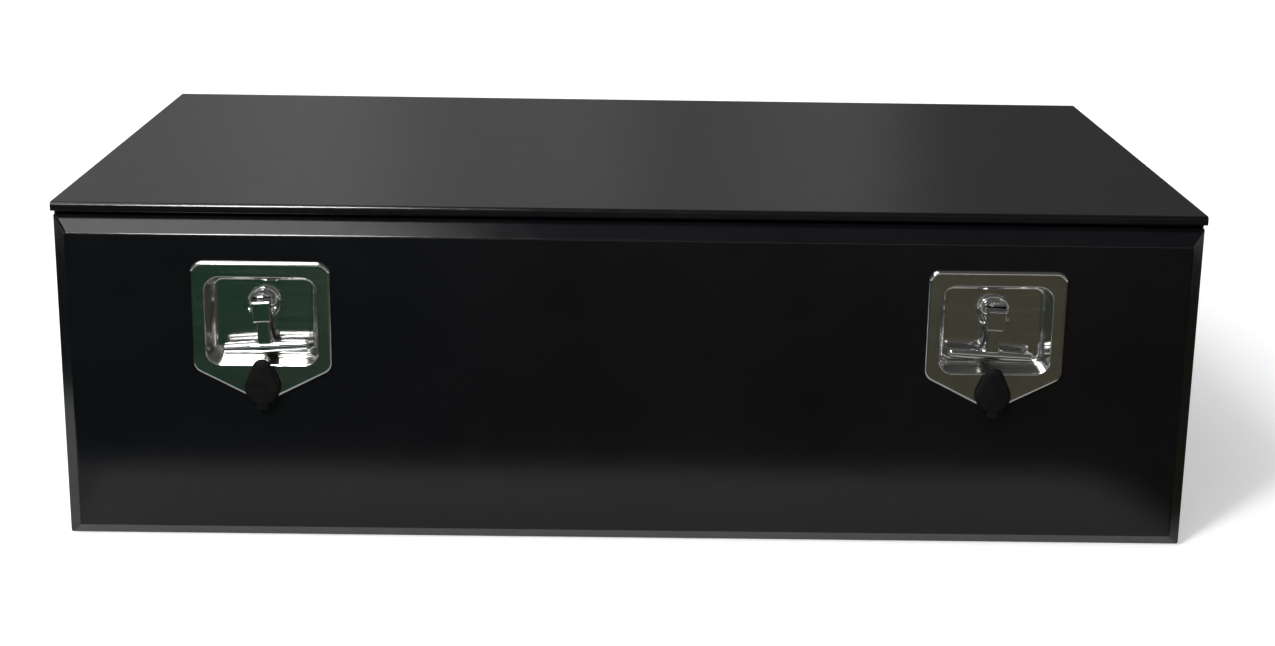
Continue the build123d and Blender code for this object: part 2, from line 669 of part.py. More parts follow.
def make_cam():
    y0 = DISH_BACK + BUSH_LENGTH + CAM_GAP
    y1 = y0 + CAM_THICK
    half = CAM_WIDTH / 2
    half_tip = CAM_TIP_WIDTH / 2
    outline = Polyline((-half, -half), (half, -half), (half, half), (half_tip, CAM_LENGTH),
                       (-half_tip, CAM_LENGTH), (-half, half), close=True)
    face = fillet(make_face(outline).vertices(), COLLAR)
    hole = CAM_SQUARE + 2 * CAM_CLEAR
    return plate_y(face - Rectangle(hole, hole), y0, y1, 0, SPINDLE_Z)


def make_cam_nut():
    y0 = DISH_BACK + BUSH_LENGTH + CAM_GAP + CAM_THICK
    y1 = y0 + WASHER
    y2 = y1 + CAM_NUT
    bore = rod_y(THREAD_RADIUS, y0 - SHEET, y2 + SHEET, 0, SPINDLE_Z)
    washer = rod_y(WASHER_RADIUS, y0, y1, 0, SPINDLE_Z) - bore
    nut = hex_y(CAM_NUT_RADIUS, y1, y2, 0, SPINDLE_Z) - bore
    return Compound(children=[washer.solid(), nut.solid()])


# Folding T handle
def make_handle():
    half = EYE_WIDTH / 2
    front = PIVOT_Y - EYE_RADIUS
    low = PIVOT_Z - EYE_BLOCK
    high = PIVOT_Z + EYE_RADIUS
    cheek = block(-half, half, front, PIVOT_Y, low, high)
    cheek = fillet(cheek.edges().group_by(Axis.Y)[0], EYE_EDGE)
    rear_half = block(-half, half, PIVOT_Y, PIVOT_Y + EYE_RADIUS, PIVOT_Z - EYE_RADIUS, high)
    barrel = rod_x(EYE_RADIUS, -half, half, PIVOT_Y, PIVOT_Z) & rear_half
    eye = cheek + barrel + block(-half, half, PIVOT_Y, PIVOT_Y + EYE_BACK, low, PIVOT_Z)
    top_z = PIVOT_Z - EYE_BLOCK + EYE_ROUND
    top_plane = Plane(origin=(0, PIVOT_Y, top_z), x_dir=(1, 0, 0), z_dir=(0, 0, 1))
    foot_plane = Plane(origin=(0, PIVOT_Y, BAR_Z), x_dir=(1, 0, 0), z_dir=(0, 0, 1))
    top_shape = RectangleRounded(STEM_WIDTH - EYE_ROUND, STEM_DEPTH, STEM_ROUND)
    foot_shape = RectangleRounded(STEM_FOOT_WIDTH, STEM_DEPTH - EYE_ROUND, STEM_ROUND)
    stem = loft([foot_plane * foot_shape, top_plane * top_shape])
    half_bar = BAR_LENGTH / 2
    middle = STEM_WIDTH
    outline = Polyline((-half_bar, 0), (half_bar, 0), (half_bar, BAR_END_RADIUS), (middle, BAR_RADIUS),
                       (-middle, BAR_RADIUS), (-half_bar, BAR_END_RADIUS), close=True)
    face = make_face(outline)
    tips = face.vertices().filter_by(lambda v: v.Y > HALF_SHEET)
    ends = [v for v in tips if abs(v.X) > middle + SHEET]
    face = fillet(ends, BAR_END_ROUND)
    bar = Pos(0, PIVOT_Y, BAR_Z) * revolve(face, Axis.X)
    tee = stem + bar
    root = []
    for edge in tee.edges():
        span = edge.bounding_box()
        if span.min.Z > BAR_Z + HALF_SHEET and span.max.Z < BAR_Z + BAR_RADIUS + HALF_SHEET:
            root.append(edge)
    handle = eye + fillet(root, STEM_ROOT)
    hole = HANDLE_PIN_RADIUS + EYE_PIN_CLEAR
    return handle - rod_x(hole, -STEM_FOOT_WIDTH, STEM_FOOT_WIDTH, PIVOT_Y, PIVOT_Z)


def make_handle_pin():
    half = HANDLE_PIN_LENGTH / 2
    return rod_x(HANDLE_PIN_RADIUS, -half, half, PIVOT_Y, PIVOT_Z)


# Key cylinder behind its cover
def make_barrel():
    back = DOOR_FACE + BARREL_LENGTH
    barrel = rod_y(BARREL_RADIUS, DISH_FRONT, back, 0, KEY_Z)
    barrel = barrel + rod_y(BARREL_HEAD_RADIUS, DISH_FRONT - BARREL_HEAD, DISH_FRONT, 0, KEY_Z)
    return barrel - rod_y(PLUG_RADIUS + PLUG_CLEAR, DISH_FRONT - SHEET, back + SHEET, 0, KEY_Z)


def make_barrel_nut():
    nut = hex_y(BARREL_NUT_RADIUS, DOOR_INNER, DOOR_INNER + BARREL_NUT, 0, KEY_Z)
    return nut - rod_y(BARREL_RADIUS, DOOR_FACE, DOOR_INNER + 2 * BARREL_NUT, 0, KEY_Z)


def make_plug():
    front = DISH_FRONT - BARREL_HEAD
    back = DOOR_FACE + BARREL_LENGTH
    plug = rod_y(PLUG_RADIUS, front, back, 0, KEY_Z)
    half_w = KEYWAY_WIDTH / 2
    half_h = KEYWAY_HEIGHT / 2
    plug = plug - block(-half_w, half_w, front - SHEET, front + KEYWAY_DEPTH, KEY_Z - half_h, KEY_Z + half_h)
    return plug + rod_y(PLUG_TAIL, back, back + PLUG_TAIL_LENGTH, 0, KEY_Z)


def make_tongue():
    y0 = DOOR_FACE + BARREL_LENGTH + SHEET
    centre = (TONGUE_LENGTH - TONGUE_WIDTH / 2) / 2
    shape = Pos(0, -centre) * (Rot(0, 0, 90) * SlotOverall(TONGUE_LENGTH + TONGUE_WIDTH / 2, TONGUE_WIDTH))
    tongue = plate_y(shape, y0, y0 + TONGUE, 0, KEY_Z)
    return tongue - rod_y(PLUG_TAIL + CAM_CLEAR, y0 - SHEET, y0 + 2 * TONGUE, 0, KEY_Z)


def make_cover():
    back = DISH_FRONT - BARREL_HEAD - COVER_BACK_GAP
    front = back - COVER_THICK
    low_radius = COVER_WIDTH / 2
    low_centre = -COVER_BOTTOM_REACH + low_radius
    top_centre = COVER_TOP_REACH - COVER_TOP_RADIUS
    low_ring = Pos(0, low_centre) * Circle(low_radius)
    top_ring = Pos(0, top_centre) * Circle(COVER_TOP_RADIUS)
    shape = make_hull(low_ring.edges() + top_ring.edges())
    cover = plate_y(shape, front, back, 0, COVER_Z)
    cover = fillet(cover.edges().group_by(Axis.Y)[0], COVER_ROUND)
    half = NUB_WIDTH / 2
    nub_low = COVER_Z - COVER_BOTTOM_REACH - NUB_HEIGHT / 2
    nub = block(-half, half, back - NUB_THICK, back, nub_low, nub_low + NUB_HEIGHT)
    nub = fillet(nub.edges().filter_by(Axis.Y), NUB_ROUND)
    nub = fillet(nub.edges().group_by(Axis.Y)[0], NUB_ROUND)
    cover = cover + nub
    pocket_back = back - COVER_LIP
    pocket_front = pocket_back - COVER_PIN_HEAD - 2 * COVER_PIN_GAP
    cover = cover - rod_y(COVER_PIN_RADIUS + COVER_PIN_CLEAR, pocket_back, back + SHEET, 0, COVER_Z)
    return cover - rod_y(COVER_BORE, pocket_front, pocket_back, 0, COVER_Z)


def make_cover_pin():
    back = DISH_FRONT - BARREL_HEAD - COVER_BACK_GAP
    under_head = back - COVER_LIP - COVER_PIN_GAP
    pin = rod_y(COVER_PIN_RADIUS, under_head, DISH_FRONT + DISH_SHEET, 0, COVER_Z)
    return pin + rod_y(COVER_PIN_HEAD_RADIUS, under_head - COVER_PIN_HEAD, under_head, 0, COVER_Z)


# Each handle hangs a little off upright
def tilted(shape, angle):
    return Pos(0, 0, SPINDLE_Z) * Rot(0, angle, 0) * Pos(0, 0, -SPINDLE_Z) * shape


def save(shape, name):
    export_step(shape, "parts/" + name + ".step")


def mirrored(shape):
    return mirror(shape, about=Plane.YZ)


save(make_wrap(), "body_wrap")
right_side = make_side()
save(right_side, "right_side_panel")
save(mirrored(right_side), "left_side_panel")
save(make_top_rail(), "top_rail")
save(make_seal(), "door_seal")

bottom_rail_back = FRONT + SHEET
body_leaf_front = FRONT - LEAF
door_leaf_back = DOOR_BACK + LEAF
body_leaf = make_leaf(0, body_leaf_front, FRONT, BODY_LEAF_WIDTH, BODY_RIVET_Z)
save(body_leaf, "hinge_body_leaf")
door_leaf = make_leaf(1, DOOR_BACK, door_leaf_back, DOOR_LEAF_WIDTH, DOOR_RIVET_Z)
save(door_leaf, "hinge_door_leaf")
save(make_hinge_pin(), "hinge_pin")
save(make_rivets(body_leaf_front, bottom_rail_back, BODY_RIVET_Z), "hinge_body_rivets")
save(make_rivets(DOOR_BACK - SHEET, door_leaf_back, DOOR_RIVET_Z), "hinge_door_rivets")

door_skin, door_rim = make_door()
save(door_skin, "door_panel")
save(door_rim, "door_rim")

for maker, name in (
    (make_stay_arm, "stay_arm"),
    (make_stay_rivet, "stay_rivet"),
    (make_stay_stud, "stay_stud"),
    (make_door_bracket, "stay_door_bracket"),
    (make_body_bracket, "stay_body_bracket"),
):
    piece = maker()
    save(piece, "right_" + name)
    save(mirrored(piece), "left_" + name)

for maker, name in (
    (make_dish, "lock_dish"),
    (make_gasket, "lock_gasket"),
    (make_dish_nuts, "dish_nuts"),
    (make_bush, "spindle_bush"),
    (make_barrel, "key_barrel"),
    (make_barrel_nut, "barrel_nut"),
    (make_plug, "key_plug"),
    (make_tongue, "lock_tongue"),
    (make_cover, "key_cover"),
    (make_cover_pin, "cover_pin"),
):
    piece = maker()
    save(Pos(-LOCK_OFFSET, 0, 0) * piece, "left_" + name)
    save(Pos(LOCK_OFFSET, 0, 0) * piece, "right_" + name)

for maker, name in (
    (make_spindle, "spindle"),
    (make_cam, "cam"),
    (make_cam_nut, "cam_nut"),
    (make_handle, "t_handle"),
    (make_handle_pin, "handle_pin"),
):
    piece = maker()
    save(Pos(-LOCK_OFFSET, 0, 0) * tilted(piece, -LOCK_TILT), "left_" + name)
    save(Pos(LOCK_OFFSET, 0, 0) * tilted(piece, LOCK_TILT), "right_" + name)
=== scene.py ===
import json
import math

import bmesh
import bpy
from mathutils import Matrix, Vector


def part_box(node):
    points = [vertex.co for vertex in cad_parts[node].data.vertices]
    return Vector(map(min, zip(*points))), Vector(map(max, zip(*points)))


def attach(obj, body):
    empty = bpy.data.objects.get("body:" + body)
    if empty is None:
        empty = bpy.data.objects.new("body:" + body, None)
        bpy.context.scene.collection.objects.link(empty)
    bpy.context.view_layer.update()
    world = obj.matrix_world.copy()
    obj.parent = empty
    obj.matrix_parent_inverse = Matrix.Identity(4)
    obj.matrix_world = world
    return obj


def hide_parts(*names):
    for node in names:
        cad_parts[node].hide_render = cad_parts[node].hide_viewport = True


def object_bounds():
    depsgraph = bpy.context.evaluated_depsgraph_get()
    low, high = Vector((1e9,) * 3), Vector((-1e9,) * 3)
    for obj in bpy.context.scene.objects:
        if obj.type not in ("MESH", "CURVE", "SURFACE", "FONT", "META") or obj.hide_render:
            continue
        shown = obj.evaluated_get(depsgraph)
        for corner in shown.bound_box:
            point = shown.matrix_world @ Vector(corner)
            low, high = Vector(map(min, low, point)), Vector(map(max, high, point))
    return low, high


# Looks of the steel tool box: materials, soft rubber pieces, stage, light and camera.
# Lengths are metres in the part's own frame: +X right, +Y to the back, +Z up.
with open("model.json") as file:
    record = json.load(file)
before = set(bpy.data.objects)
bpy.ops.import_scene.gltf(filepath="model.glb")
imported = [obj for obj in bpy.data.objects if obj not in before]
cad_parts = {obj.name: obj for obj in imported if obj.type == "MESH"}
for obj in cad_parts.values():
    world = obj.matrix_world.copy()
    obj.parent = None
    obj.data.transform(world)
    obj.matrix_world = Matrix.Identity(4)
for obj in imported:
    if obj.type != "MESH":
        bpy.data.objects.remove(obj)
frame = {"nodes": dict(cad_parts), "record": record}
cad_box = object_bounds()
scene = bpy.context.scene
scene.view_settings.view_transform = "Standard"

# Most of a noise texture's values lie between these two
NOISE_LOW, NOISE_HIGH = 0.3, 0.7


# Node helpers
def start(name):
    material = bpy.data.materials.new(name)
    material.use_nodes = True
    tree = material.node_tree
    tree.nodes.clear()
    output = tree.nodes.new("ShaderNodeOutputMaterial")
    shader = tree.nodes.new("ShaderNodeBsdfPrincipled")
    tree.links.new(shader.outputs["BSDF"], output.inputs["Surface"])
    coords = tree.nodes.new("ShaderNodeTexCoord")
    return material, tree, shader, coords.outputs["Object"]


def connect(tree, shader, sources):
    for socket, source in sources.items():
        tree.links.new(source, shader.inputs[socket])


def noise(tree, coords, scale, detail, stretch=None):
    if stretch:
        mapping = tree.nodes.new("ShaderNodeMapping")
        mapping.inputs["Scale"].default_value = stretch
        tree.links.new(coords, mapping.inputs["Vector"])
        coords = mapping.outputs["Vector"]
    node = tree.nodes.new("ShaderNodeTexNoise")
    node.inputs["Scale"].default_value = scale
    node.inputs["Detail"].default_value = detail
    tree.links.new(coords, node.inputs["Vector"])
    return node.outputs["Fac"]


def spread(tree, value, first, last, first_at=NOISE_LOW, last_at=NOISE_HIGH):
    node = tree.nodes.new("ShaderNodeMapRange")
    node.inputs["From Min"].default_value = first_at
    node.inputs["From Max"].default_value = last_at
    node.inputs["To Min"].default_value = first
    node.inputs["To Max"].default_value = last
    tree.links.new(value, node.inputs["Value"])
    return node.outputs["Result"]


def tint(tree, value, first, last, first_at=NOISE_LOW, last_at=NOISE_HIGH):
    ramp = tree.nodes.new("ShaderNodeValToRGB")
    stops = ((first_at, first), (last_at, last))
    for element, (position, colour) in zip(ramp.color_ramp.elements, stops):
        element.position = position
        element.color = (*colour, 1.0)
    tree.links.new(value, ramp.inputs["Fac"])
    return ramp.outputs["Color"]


def bump(tree, height, strength, distance, below=None):
    node = tree.nodes.new("ShaderNodeBump")
    node.inputs["Strength"].default_value = strength
    node.inputs["Distance"].default_value = distance
    tree.links.new(height, node.inputs["Height"])
    if below is not None:
        tree.links.new(below, node.inputs["Normal"])
    return node.outputs["Normal"]


# Semi-gloss powder coat: orange peel, slow sheet waviness, faint mottle
def powder_coat():
    material, tree, shader, coords = start("black_powder_coat")
    shader.inputs["Specular IOR Level"].default_value = 0.50
    mottle = noise(tree, coords, scale=9.0, detail=4.0)
    fine = noise(tree, coords, scale=60.0, detail=3.0)
    peel = noise(tree, coords, scale=380.0, detail=0.0)
    wave = noise(tree, coords, scale=2.6, detail=0.0, stretch=(1.0, 0.5, 0.7))
    sheet = bump(tree, wave, strength=0.05, distance=0.004)
    connect(tree, shader, {
        "Base Color": tint(tree, mottle, (0.0020, 0.0017, 0.0028), (0.0031, 0.0028, 0.0039)),
        "Roughness": spread(tree, fine, 0.145, 0.185),
        "Normal": bump(tree, peel, strength=0.018, distance=0.0006, below=sheet),
    })
    return material


# Pressed and polished sheet with faint polishing lines
def polished_stainless():
    material, tree, shader, coords = start("polished_stainless")
    shader.inputs["Metallic"].default_value = 1.0
    haze = noise(tree, coords, scale=70.0, detail=4.0)
    lines = noise(tree, coords, scale=240.0, detail=3.0, stretch=(0.06, 1.0, 1.0))
    ripple = noise(tree, coords, scale=46.0, detail=1.0)
    connect(tree, shader, {
        "Base Color": tint(tree, haze, (0.60, 0.60, 0.585), (0.68, 0.675, 0.66)),
        "Roughness": spread(tree, lines, 0.10, 0.17),
        "Normal": bump(tree, ripple, strength=0.05, distance=0.0012),
    })
    return material


# Bright plating on a casting
def handle_chrome():
    material, tree, shader, coords = start("handle_chrome")
    shader.inputs["Metallic"].default_value = 1.0
    cloud = noise(tree, coords, scale=120.0, detail=3.0)
    pits = noise(tree, coords, scale=180.0, detail=2.0)
    connect(tree, shader, {
        "Base Color": tint(tree, cloud, (0.66, 0.665, 0.67), (0.74, 0.745, 0.75)),
        "Roughness": spread(tree, cloud, 0.06, 0.12),
        "Normal": bump(tree, pits, strength=0.06, distance=0.0006),
    })
    return material


# Zinc-plated steel with a drawn grain along X
def zinc_steel():
    material, tree, shader, coords = start("zinc_steel")
    shader.inputs["Metallic"].default_value = 1.0
    grain = noise(tree, coords, scale=300.0, detail=4.0, stretch=(0.12, 1.0, 1.0))
    connect(tree, shader, {
        "Base Color": tint(tree, grain, (0.46, 0.47, 0.49), (0.58, 0.59, 0.61)),
        "Roughness": spread(tree, grain, 0.26, 0.40),
        "Normal": bump(tree, grain, strength=0.08, distance=0.0004),
    })
    return material


# Matt moulded rubber with a faint bloom
def black_rubber():
    material, tree, shader, coords = start("black_rubber")
    shader.inputs["Specular IOR Level"].default_value = 0.10
    bloom = noise(tree, coords, scale=110.0, detail=4.0)
    grain = noise(tree, coords, scale=900.0, detail=2.0)
    connect(tree, shader, {
        "Base Color": tint(tree, bloom, (0.0022, 0.0022, 0.0022), (0.0040, 0.0040, 0.0039)),
        "Roughness": spread(tree, bloom, 0.58, 0.74),
        "Normal": bump(tree, grain, strength=0.12, distance=0.0003),
    })
    return material


# Plain turned brass
def brass():
    material, tree, shader, coords = start("brass")
    shader.inputs["Metallic"].default_value = 1.0
    turned = noise(tree, coords, scale=500.0, detail=3.0, stretch=(1.0, 0.1, 1.0))
    connect(tree, shader, {
        "Base Color": tint(tree, turned, (0.62, 0.46, 0.20), (0.74, 0.58, 0.30)),
        "Roughness": spread(tree, turned, 0.22, 0.34),
    })
    return material


materials = {
    "black_powder_coat": powder_coat(),
    "polished_stainless": polished_stainless(),
    "handle_chrome": handle_chrome(),
    "zinc_steel": zinc_steel(),
    "black_rubber": black_rubber(),
    "brass": brass(),
}
slot_of = {part["node"]: part["material_slot"] for part in frame["record"]["subparts"]}


def dress(obj, material):
    if obj.material_slots:
        for place in obj.material_slots:
            place.material = material
    else:
        obj.data.materials.append(material)


for name, obj in frame["nodes"].items():
    dress(obj, materials[slot_of[name]])


# A rubber mesh becomes a piece of the part in place of a CAD node
SHARP_ANGLE = math.radians(50.0)


def as_piece(name, mesh, body, node):
    bm = bmesh.new()
    bm.from_mesh(mesh)
    bmesh.ops.recalc_face_normals(bm, faces=bm.faces)
    bm.to_mesh(mesh)
    bm.free()
    mesh.polygons.foreach_set("use_smooth", [True] * len(mesh.polygons))
    mesh.set_sharp_from_angle(angle=SHARP_ANGLE)
    obj = bpy.data.objects.new(name, mesh)
    scene.collection.objects.link(obj)
    dress(obj, materials["black_rubber"])
    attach(obj, body)
    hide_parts(node)


# Moulded rubber key cover: a domed teardrop with a rolled edge and a pull nub
TIP_RADIUS = 0.0085
TIP_STEPS, BOWL_STEPS = 24, 48
BACK_BREAK = 0.0009
ROLL_RADIUS, ROLL_STEPS = 0.0040, 8
CROWN_HEIGHT, CROWN_STEPS = 0.0006, 6
NUB_WIDTH, NUB_DEPTH, NUB_HEIGHT = 0.0110, 0.0050, 0.0090
NUB_TAPER = 0.92
NUB_ROUND, NUB_ROUND_STEPS = 0.0017, 4
MERGE_DISTANCE = 1e-6


# Points of the teardrop as the centre's height, the radius and the angle of each
def teardrop(tip, bowl, bowl_radius):
    lean = math.asin((bowl_radius - TIP_RADIUS) / (tip - bowl))
    outline = []
    for step in range(TIP_STEPS + 1):
        outline.append((tip, TIP_RADIUS, lean + (math.pi - 2 * lean) * step / TIP_STEPS))
    for step in range(BOWL_STEPS + 1):
        angle = math.pi - lean + (math.pi + 2 * lean) * step / BOWL_STEPS
        outline.append((bowl, bowl_radius, angle))
    return outline


def add_nub(bm, middle, back, bottom):
    block = bmesh.ops.create_cube(bm, size=1.0)["verts"]
    for vert in block:
        x, y, z = vert.co
        taper = 1.0 if z > 0 else NUB_TAPER
        vert.co = (
            middle + x * NUB_WIDTH * taper,
            back - NUB_DEPTH / 2 + y * NUB_DEPTH,
            bottom + NUB_HEIGHT / 2 + z * NUB_HEIGHT,
        )
    edges = dict.fromkeys(edge for vert in block for edge in vert.link_edges)
    bmesh.ops.bevel(
        bm, geom=list(edges), offset=NUB_ROUND, segments=NUB_ROUND_STEPS, profile=0.5, affect="EDGES"
    )


def key_cover(node, body, name):
    low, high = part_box(node)
    middle = (low[0] + high[0]) / 2
    front, back = low[1], high[1]
    bowl_radius = (high[0] - low[0]) / 2
    tip = high[2] - TIP_RADIUS
    bowl = low[2] + NUB_HEIGHT / 2 + bowl_radius
    outline = teardrop(tip, bowl, bowl_radius)
    bm = bmesh.new()

    def ring(inset, y, shrink=1.0):
        made = []
        for centre, radius, angle in outline:
            reach = (radius - inset) * shrink
            place = (middle + reach * math.cos(angle), y, centre + reach * math.sin(angle))
            made.append(bm.verts.new(place))
        return made

    rings = [ring(BACK_BREAK, back), ring(0.0, back - BACK_BREAK)]
    for step in range(ROLL_STEPS + 1):
        turn = math.radians(90.0 * step / ROLL_STEPS)
        inset = ROLL_RADIUS * (1 - math.cos(turn))
        rings.append(ring(inset, front + CROWN_HEIGHT + ROLL_RADIUS * (1 - math.sin(turn))))
    for step in range(1, CROWN_STEPS + 1):
        shrink = 1 - step / CROWN_STEPS
        rings.append(ring(ROLL_RADIUS, front + CROWN_HEIGHT * shrink ** 2, shrink))
    count = len(outline)
    for first, second in zip(rings, rings[1:]):
        for k in range(count):
            after = (k + 1) % count
            bm.faces.new((first[k], first[after], second[after], second[k]))
    bm.faces.new(rings[0])
    bmesh.ops.remove_doubles(bm, verts=bm.verts, dist=MERGE_DISTANCE)
    add_nub(bm, middle, back, low[2])
    mesh = bpy.data.meshes.new(name)
    bm.to_mesh(mesh)
    bm.free()
    as_piece(name, mesh, body, node)


for side in ("left", "right"):
    key_cover(f"{side}_key_cover", f"{side}_cover", f"{side}_rubber_key_cover")


# Edge-trim seal: a bulb on a slotted carrier, swept round the opening's lip
BULB_RADIUS, BULB_STEPS = 0.0050, 24
CARRIER_HALF, CARRIER_BREAK = 0.0027, 0.0006
SLOT_HALF, SLOT_DEPTH = 0.00095, 0.0076
NOTCH_PLACES = (0.0022, 0.0044)
NOTCH_HALF, NOTCH_DEPTH = 0.0003, 0.0004
SEAL_CORNER, SEAL_CORNER_STEPS = 0.0110, 9


# The seal's section as distances across it and places along Y
def seal_section(front, back):
    flank = [
        (SLOT_HALF, back),
        (CARRIER_HALF - CARRIER_BREAK, back),
        (CARRIER_HALF, back - CARRIER_BREAK),
    ]
    for notch in NOTCH_PLACES:
        flank += [
            (CARRIER_HALF, back - notch),
            (CARRIER_HALF - NOTCH_DEPTH, back - notch - NOTCH_HALF),
            (CARRIER_HALF, back - notch - 2 * NOTCH_HALF),
        ]
    bulb_y = front + BULB_RADIUS
    neck = math.asin(CARRIER_HALF / BULB_RADIUS)
    bulb = []
    for step in range(BULB_STEPS + 1):
        angle = math.pi / 2 - neck - (2 * math.pi - 2 * neck) * step / BULB_STEPS
        bulb.append((BULB_RADIUS * math.cos(angle), bulb_y + BULB_RADIUS * math.sin(angle)))
    other_flank = [(-across, y) for across, y in reversed(flank)]
    slot_end = back - SLOT_DEPTH
    return flank + bulb + other_flank + [(-SLOT_HALF, slot_end), (SLOT_HALF, slot_end)]


# Corner centres and outward directions along the seal's rounded rectangle
def seal_path(half, bottom, top):
    path = []
    for x_sign, z_sign, begin in ((1, 1, 0.0), (-1, 1, 90.0), (-1, -1, 180.0), (1, -1, 270.0)):
        x = x_sign * (half - SEAL_CORNER)
        z = top - SEAL_CORNER if z_sign > 0 else bottom + SEAL_CORNER
        for step in range(SEAL_CORNER_STEPS + 1):
            turn = math.radians(begin + 90.0 * step / SEAL_CORNER_STEPS)
            path.append((x, z, math.cos(turn), math.sin(turn)))
    return path


def seal():
    low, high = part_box("door_seal")
    section = seal_section(low[1], high[1])
    path = seal_path(high[0] - BULB_RADIUS, low[2] + BULB_RADIUS, high[2] - BULB_RADIUS)
    verts = []
    for x, z, x_out, z_out in path:
        for across, y in section:
            reach = SEAL_CORNER + across
            verts.append((x + reach * x_out, y, z + reach * z_out))
    wide = len(section)
    faces = []
    for i in range(len(path)):
        j = (i + 1) % len(path)
        for k in range(wide):
            m = (k + 1) % wide
            faces.append((i * wide + k, i * wide + m, j * wide + m, j * wide + k))
    mesh = bpy.data.meshes.new("bulb_seal")
    mesh.from_pydata(verts, [], faces)
    as_piece("bulb_seal", mesh, "box", "door_seal")


seal()


# Stage helpers
def arithmetic(tree, operation, first, second=None, clamp=False):
    node = tree.nodes.new("ShaderNodeMath")
    node.operation = operation
    node.use_clamp = clamp
    for place, value in enumerate((first, second)):
        if isinstance(value, float):
            node.inputs[place].default_value = value
        elif value is not None:
            tree.links.new(value, node.inputs[place])
    return node.outputs["Value"]


def zone(tree, value, starts_at, full_at):
    ramp = tree.nodes.new("ShaderNodeMapRange")
    ramp.interpolation_type = "SMOOTHSTEP"
    ramp.inputs["From Min"].default_value = starts_at
    ramp.inputs["From Max"].default_value = full_at
    tree.links.new(value, ramp.inputs["Value"])
    return ramp.outputs["Result"]


def stage_mesh(name, verts, faces, height, material):
    mesh = bpy.data.meshes.new(name)
    mesh.from_pydata(verts, [], faces)
    obj = bpy.data.objects.new(name, mesh)
    scene.collection.objects.link(obj)
    obj.location = (0.0, 0.0, height)
    mesh.materials.append(material)
    return obj


def rectangle(half, front, back, height=0.0):
    return [(-half, front, height), (half, front, height), (half, back, height), (-half, back, height)]


# Floor: plain and pale, lifted to white away from the box
FLOOR_PALE = 0.76
MATT_ROUGHNESS = 0.9
LIFT_NEAR, LIFT_FAR = 0.50, 0.85
LIFT_STARTS, LIFT_ENDS = 0.6, 1.5


def floor_material():
    material, tree, shader, coords = start("pale_floor")
    shader.inputs["Base Color"].default_value = (FLOOR_PALE, FLOOR_PALE, FLOOR_PALE, 1.0)
    shader.inputs["Roughness"].default_value = MATT_ROUGHNESS
    shader.inputs["Specular IOR Level"].default_value = 0.05
    shader.inputs["Emission Color"].default_value = (1.0, 1.0, 1.0, 1.0)
    length = tree.nodes.new("ShaderNodeVectorMath")
    length.operation = "LENGTH"
    tree.links.new(coords, length.inputs[0])
    lift = spread(tree, length.outputs["Value"], LIFT_NEAR, LIFT_FAR, LIFT_STARTS, LIFT_ENDS)
    path = tree.nodes.new("ShaderNodeLightPath")
    seen = path.outputs["Is Camera Ray"]
    for ray in ("Is Glossy Ray", "Is Transmission Ray"):
        seen = arithmetic(tree, "ADD", seen, path.outputs[ray], clamp=True)
    connect(tree, shader, {"Emission Strength": arithmetic(tree, "MULTIPLY", seen, lift)})
    return material


# Painted reflection: dark cards, greenish to the left and warm to the right, lying in front of the box
# and beside it, seen only in its gloss. Next to the box they have a thinner patch, narrower towards
# the front, and behind it they fade out.
CARD_LEFT, CARD_RIGHT = (0.010, 0.027, 0.018), (0.066, 0.061, 0.042)
CARD_BLEND_HALF = 0.5
PATCH_SHIFT, PATCH_SLOPE = 0.15, 0.3
PATCH_FRONT, PATCH_FULL_FRONT = -0.55, -0.48
PATCH_HALF, PATCH_FULL_HALF = 0.82, 0.72
PATCH_COVER = 0.71
CARD_BACK, CARD_FULL_BACK = 0.6, 0.25


def painted_reflection_material():
    material, tree, shader, coords = start("painted_reflection_card")
    shader.inputs["Roughness"].default_value = MATT_ROUGHNESS
    shader.inputs["Specular IOR Level"].default_value = 0.0
    split = tree.nodes.new("ShaderNodeSeparateXYZ")
    tree.links.new(coords, split.inputs["Vector"])
    x, y = split.outputs["X"], split.outputs["Y"]
    off_centre = arithmetic(tree, "ABSOLUTE", arithmetic(tree, "ADD", x, PATCH_SHIFT))
    fan = arithmetic(tree, "SUBTRACT", off_centre, arithmetic(tree, "MULTIPLY", y, PATCH_SLOPE))
    in_length = zone(tree, y, PATCH_FRONT, PATCH_FULL_FRONT)
    in_width = zone(tree, fan, PATCH_HALF, PATCH_FULL_HALF)
    patch = arithmetic(tree, "MULTIPLY", in_length, in_width)
    cover = spread(tree, patch, 1.0, PATCH_COVER, 0.0, 1.0)
    fade = zone(tree, y, CARD_BACK, CARD_FULL_BACK)
    sideways = spread(tree, x, 0.0, 1.0, -CARD_BLEND_HALF, CARD_BLEND_HALF)
    connect(tree, shader, {
        "Base Color": tint(tree, sideways, CARD_LEFT, CARD_RIGHT, 0.0, 1.0),
        "Alpha": arithmetic(tree, "MULTIPLY", cover, fade),
    })
    return material


# The floor has a shallow well in front of the box, so that the door can drop past its base
FLOOR_GAP = 0.0005
FLOOR_REACH = 40.0
WELL_HALF, WELL_FRONT, WELL_BACK, WELL_DEPTH = 0.506, -0.600, -0.2862, 0.065
RISER_HALF = 0.80
WELL_FLOOR_HALF, WELL_FLOOR_FRONT, WELL_FLOOR_BACK = 1.3, -1.5, 0.4
CARD_REACH, CARD_GAP = 3.0, 0.0003


